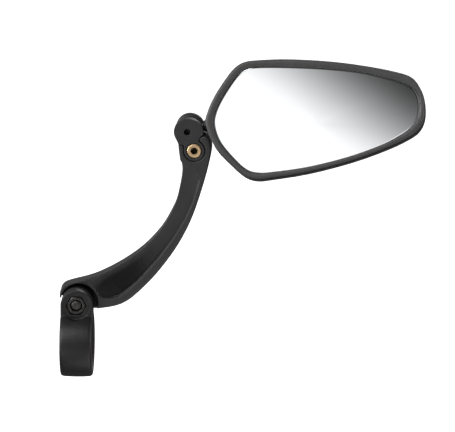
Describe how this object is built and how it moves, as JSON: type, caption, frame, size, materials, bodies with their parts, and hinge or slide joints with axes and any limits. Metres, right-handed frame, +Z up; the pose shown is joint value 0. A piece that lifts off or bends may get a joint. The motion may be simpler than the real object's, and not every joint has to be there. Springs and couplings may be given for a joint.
{
  "type": "bike mirror",
  "caption": "Handlebar mirror for a bicycle: split bar clamp, curved arm, clamped ball joint and a convex glass in a five-cornered black head.",
  "frame": {"origin": "centre of the clamp's bore, on the handlebar's axis", "axes": "+X along the handlebar, towards the mirror head; -Y towards the rider; +Z up"},
  "size_m": [0.1707, 0.0361, 0.1502],
  "materials": {
    "clamp_plastic": "fine satin grain",
    "shim_rubber": "matt",
    "black_steel": "blackened, satin",
    "zinc_steel": "zinc plated",
    "arm_plastic": "fine satin grain",
    "cover_plastic": "fine satin grain",
    "brass": "polished, slightly worn",
    "seat_nylon": "smooth",
    "bezel_plastic": "satin",
    "shell_plastic": "satin",
    "mirror_glass": "convex silvered",
    "foam": "soft foam",
    "tray_plastic": "moulded"
  },
  "bodies": {
    "clamp": {"clamp_band": "clamp_plastic", "bar_shim": "shim_rubber", "clamp_bolt": "black_steel", "clamp_nut": "black_steel", "clamp_washer": "zinc_steel"},
    "arm": {"arm": "arm_plastic", "socket_cover": "cover_plastic", "socket_screw": "brass", "socket_nut": "zinc_steel"},
    "ball_seats": {"seat_front": "seat_nylon", "seat_rear": "seat_nylon"},
    "ball": {"ball_stem": "black_steel", "stem_washer": "zinc_steel", "stem_screw": "zinc_steel"},
    "head": {"head_shell": "shell_plastic", "head_bezel": "bezel_plastic", "mirror_glass": "mirror_glass", "foam_pad": "foam", "glass_tray": "tray_plastic", "tray_screw_1": "zinc_steel", "tray_screw_2": "zinc_steel", "tray_screw_3": "zinc_steel"}
  },
  "joints": [
    {"name": "arm_swivel", "type": "hinge", "parent": "clamp", "child": "arm", "pos_m": [0, 0.0082, 0.019], "axis": [0, -1, 0], "range_deg": [-4, 25]},
    {"name": "head_swing", "type": "hinge", "parent": "arm", "child": "ball_seats", "pos_m": [0.0521, 0.0088, 0.10055], "axis": [0, -1, 0], "range_deg": [0, 150]},
    {"name": "head_turn", "type": "hinge", "parent": "ball_seats", "child": "ball", "pos_m": [0.0521, 0.0088, 0.10055], "axis": [0, 0, 1], "range_deg": [-3, 7]},
    {"name": "head_nod", "type": "hinge", "parent": "ball", "child": "head", "pos_m": [0.0521, 0.0088, 0.10055], "axis": [0.9781, 0, 0.2079], "range_deg": [-25, 15]}
  ]
}
